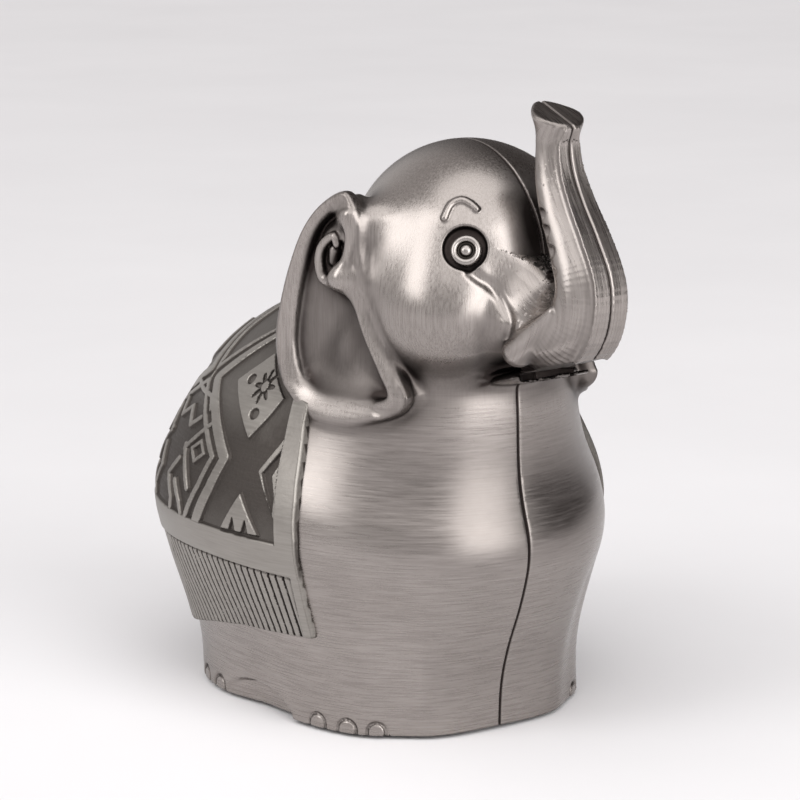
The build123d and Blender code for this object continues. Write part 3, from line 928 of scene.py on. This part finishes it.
# The third colour of each finish is the dark patina and painted shade of its recesses.
CAST = pewter(
    "antique_pewter", light=(0.40, 0.365, 0.345), dark=(0.24, 0.215, 0.20), patina_and_shade_colour=(0.035, 0.028, 0.026),
    rough=0.27, patina_and_shade_reach=(0.1, 0.7),
)
RELIEF = pewter(
    "antique_pewter_relief", light=(0.36, 0.34, 0.315), dark=(0.25, 0.232, 0.212), patina_and_shade_colour=(0.075, 0.066, 0.06),
    rough=0.38, patina_and_shade_reach=(0.04, 0.42), grainy=True,
)
POLISHED = pewter(
    "polished_pewter", light=(0.42, 0.39, 0.37), dark=(0.3, 0.275, 0.26), patina_and_shade_colour=(0.04, 0.034, 0.03),
    rough=0.24, patina_and_shade_reach=(0.05, 0.5), brush=0.5,
)


# ---------------- pieces ----------------
SIDES = (("right", False), ("left", True))   # name, and whether it is the mirrored half
EYE_STEPS = 64


def finish_piece(piece, material, node):
    piece.data.materials.append(material)
    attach(piece, "bank")
    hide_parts(node)


def split_ear(pts, tris):
    """True for the triangles that belong to the ear casting."""
    middle = pts[tris].mean(1)
    place = tuple(middle.T)
    chosen = in_box(place, *EAR_CASTING_BOX) & (ear(place) < 1.2) & (core(place) > 1.6)
    label = islands(tris[chosen], len(pts))
    own = label[tris[chosen][:, 0]]
    names, sizes = np.unique(own, return_counts=True)
    chosen[np.flatnonzero(chosen)[own != names[sizes.argmax()]]] = False
    return chosen


def compact(pts, tris):
    """Only the points that the triangles use, renumbered."""
    used, back = np.unique(tris, return_inverse=True)
    return pts[used], back.reshape(-1, 3)


def dish_shade(places):
    """More painted shade inside the ear."""
    u, v, w = ear_place(tuple(places.T))
    inside = ramp(0.4, -0.6, outline_distance(EAR_INNER_CURVE, u, v))
    return 0.34 * inside * ramp(-0.2, -1.4, w) * (w > -8)


def hollow_shade(places):
    """More painted shade inside the ears and in the seats around the eyes."""
    gap = np.linalg.norm(places - np.array(EYE), axis=1)
    return dish_shade(places) + 0.4 * ramp(-0.5, -1.3, core(tuple(places.T))) * ramp(6.5, 5.5, gap)


def make_castings():
    pts, tris = mesh_field(shell, HALF_BOX, figure_size)
    ear_part = split_ear(pts, tris)
    half = compact(pts, tris[~ear_part])
    ear_half = compact(pts, tris[ear_part])
    for side, mirror in SIDES:
        piece = make_piece(side + "_cast_half", shell, *half, mirror, sunken=hollow_shade)
        finish_piece(piece, CAST, side + "_shell")
        piece = make_piece(side + "_ear_casting", shell, *ear_half, mirror, cut=False, sunken=hollow_shade)
        finish_piece(piece, CAST, side + "_ear")


def sunken_ground(places):
    """The cloth's sunken ground, above the fringe, keeps more of the dark patina."""
    p = tuple(places.T)
    up = cloth_place(p)[1]
    low = ramp(BORDER_RISE - 0.15, FIELD_RISE + 0.05, core(p))
    return 0.3 * low * ramp(37, 39, up)


def make_cloths():
    # a sheet thinner than a cell can't be meshed: it is meshed thick, then its back is drawn up to the hide
    pts, tris = mesh_field(lambda p: cloth(p, -2.6), CLOTH_BOX, cloth_size)
    half = compact(project(cloth, pts, 6), tris)
    for side, mirror in SIDES:
        piece = make_piece(side + "_cloth_relief", cloth, *half, mirror, sunken=sunken_ground)
        finish_piece(piece, RELIEF, side + "_saddle_cloth")


def eye_profile():
    """Radius and height from the middle of the dome out to the rim and down to the seat."""
    dome = [(1.3 * math.sin(a), 0.35 + 0.95 * math.cos(a)) for a in np.linspace(0, 1.45, 9)]
    groove = [(1.62 - 0.28 * math.cos(a), 0.38 - 0.22 * math.sin(a)) for a in np.linspace(0.3, 2.8, 7)]
    ring = [(2.6 - 0.72 * math.cos(a), 0.42 + 0.72 * math.sin(a)) for a in np.linspace(0.1, 3.0, 12)]
    return dome + groove + ring + [(3.36, -0.2), (3.36, -0.9), (0.0, -0.9)]


def make_eye(side, mirror):
    sign = 1 if mirror else -1
    facing = Vector((EYE_FACING.x * sign, EYE_FACING.y, EYE_FACING.z))
    centre = Vector((EYE.x * sign, EYE.y, EYE.z)) - facing * 0.7
    turn = facing.to_track_quat("Z", "Y")
    profile = eye_profile()
    angles = [2 * math.pi * i / EYE_STEPS for i in range(EYE_STEPS)]
    b = bmesh.new()
    rings = []
    for r, h in profile:
        around = [Vector((r * math.cos(a), r * math.sin(a), h)) for a in angles] if r else [Vector((0, 0, h))]
        rings.append([b.verts.new((centre + turn @ point) * MM) for point in around])
    for low, high in zip(rings, rings[1:]):
        for i in range(EYE_STEPS):
            j = (i + 1) % EYE_STEPS
            corners = [low[i % len(low)], high[i % len(high)], high[j % len(high)], low[j % len(low)]]
            b.faces.new(list(dict.fromkeys(corners)))
    bmesh.ops.recalc_face_normals(b, faces=b.faces[:])
    mesh = bpy.data.meshes.new(side + "_eye_stud")
    b.to_mesh(mesh)
    b.free()
    mesh.polygons.foreach_set("use_smooth", [True] * len(mesh.polygons))
    values = []
    for r, h in profile:
        # painted shade: the groove between the dome and the ring and the part down in the seat are darkened
        deep = 0.75 if 1.25 < r < 1.95 else 0.0
        deep = 0.5 if h < 0 else deep
        values += [deep] * (EYE_STEPS if r else 1)
    layer = mesh.attributes.new("patina_and_shade", "FLOAT", "POINT")
    layer.data.foreach_set("value", values)
    piece = bpy.data.objects.new(side + "_eye_stud", mesh)
    bpy.context.scene.collection.objects.link(piece)
    finish_piece(piece, POLISHED, side + "_eye")


def dress_frame_nodes():
    """Materials for the nodes that keep their CAD shape."""
    rubber_look = rubber()
    looks = {"base_plate": painted_steel(), "base_screws": zinc(), "stopper": rubber_look}
    for place in ("front_right", "front_left", "rear_right", "rear_left"):
        looks[place + "_pad"] = rubber_look
    for node, material in looks.items():
        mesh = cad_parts[node].data
        mesh.materials.clear()
        mesh.materials.append(material)


# ---------------- floor, light and camera ----------------
def make_floor():
    bpy.ops.mesh.primitive_plane_add(size=14)
    floor = bpy.context.object
    floor.name = "floor"
    n = Nodes("pale_floor")
    n.link(n.mix(n.noise(6, 4), (0.74, 0.73, 0.74), (0.82, 0.81, 0.82)), n.shader.inputs["Base Color"])
    n.shader.inputs["Roughness"].default_value = 0.85
    floor.data.materials.append(n.material)


def make_light(name, place, target, size, power):
    data = bpy.data.lights.new(name, "AREA")
    data.shape = "RECTANGLE"
    data.size, data.size_y = size
    data.energy = power
    light = bpy.data.objects.new(name, data)
    light.location = place
    light.rotation_euler = (Vector(target) - Vector(place)).to_track_quat("-Z", "Y").to_euler()
    bpy.context.scene.collection.objects.link(light)


def make_sky_light():
    """Soft light from above that also opens up the shadows."""
    data = bpy.data.lights.new("sky", "SUN")
    data.energy = 1.5
    data.angle = math.radians(70)
    light = bpy.data.objects.new("sky", data)
    light.rotation_euler = (math.radians(18), math.radians(-14), 0)
    bpy.context.scene.collection.objects.link(light)


def fade(tree, value, low, high):
    """A soft change from one colour to another; each end is a place and a colour."""
    node = tree.nodes.new("ShaderNodeValToRGB")
    node.color_ramp.interpolation = "EASE"
    for element, (position, colour) in zip(node.color_ramp.elements, (low, high)):
        element.position = position
        element.color = (*colour, 1)
    tree.links.new(value, node.inputs["Fac"])
    return node.outputs["Color"]


def make_world():
    """A studio that is pale on the elephant's right and dark on its left, for the metal to mirror."""
    world = bpy.data.worlds.new("studio")
    bpy.context.scene.world = world
    world.use_nodes = True
    tree = world.node_tree
    place = tree.nodes.new("ShaderNodeTexCoord")
    axes = tree.nodes.new("ShaderNodeSeparateXYZ")
    tree.links.new(place.outputs["Generated"], axes.inputs[0])
    sides = fade(tree, axes.outputs["X"], (0.05, (0.86, 0.84, 0.84)), (0.6, (0.10, 0.09, 0.088)))
    height = fade(tree, axes.outputs["Z"], (0.3, (1, 1, 1)), (0.8, (0.75, 0.74, 0.74)))
    both = tree.nodes.new("ShaderNodeMix")
    both.data_type = "RGBA"
    both.blend_type = "MULTIPLY"
    both.inputs["Factor"].default_value = 1.0
    tree.links.new(sides, both.inputs[6])
    tree.links.new(height, both.inputs[7])
    background = tree.nodes["Background"]
    tree.links.new(both.outputs[2], background.inputs["Color"])
    background.inputs["Strength"].default_value = 0.95


def make_stage():
    make_floor()
    make_light("front", (0.12, -0.95, 0.42), (0, 0, 0.08), (0.75, 0.85), 6.5)
    make_light("left", (-0.95, 0.1, 0.65), (0, 0, 0.06), (0.5, 0.7), 3.5)
    make_sky_light()
    make_world()


def make_camera():
    azimuth, elevation, distance = math.radians(33.5), math.radians(12.5), 0.7
    target = Vector((0, 0.007, 0.068))
    level = math.cos(elevation)
    back = Vector((-math.sin(azimuth) * level, -math.cos(azimuth) * level, math.sin(elevation)))
    data = bpy.data.cameras.new("camera")
    data.sensor_width = 36
    data.lens = 137
    camera = bpy.data.objects.new("camera", data)
    camera.location = target + back * distance
    camera.rotation_euler = back.to_track_quat("Z", "Y").to_euler()
    bpy.context.scene.collection.objects.link(camera)
    bpy.context.scene.camera = camera


bpy.context.scene.view_settings.view_transform = "Standard"
make_camera()
make_stage()
make_castings()
make_cloths()
for side, mirror in SIDES:
    make_eye(side, mirror)
dress_frame_nodes()
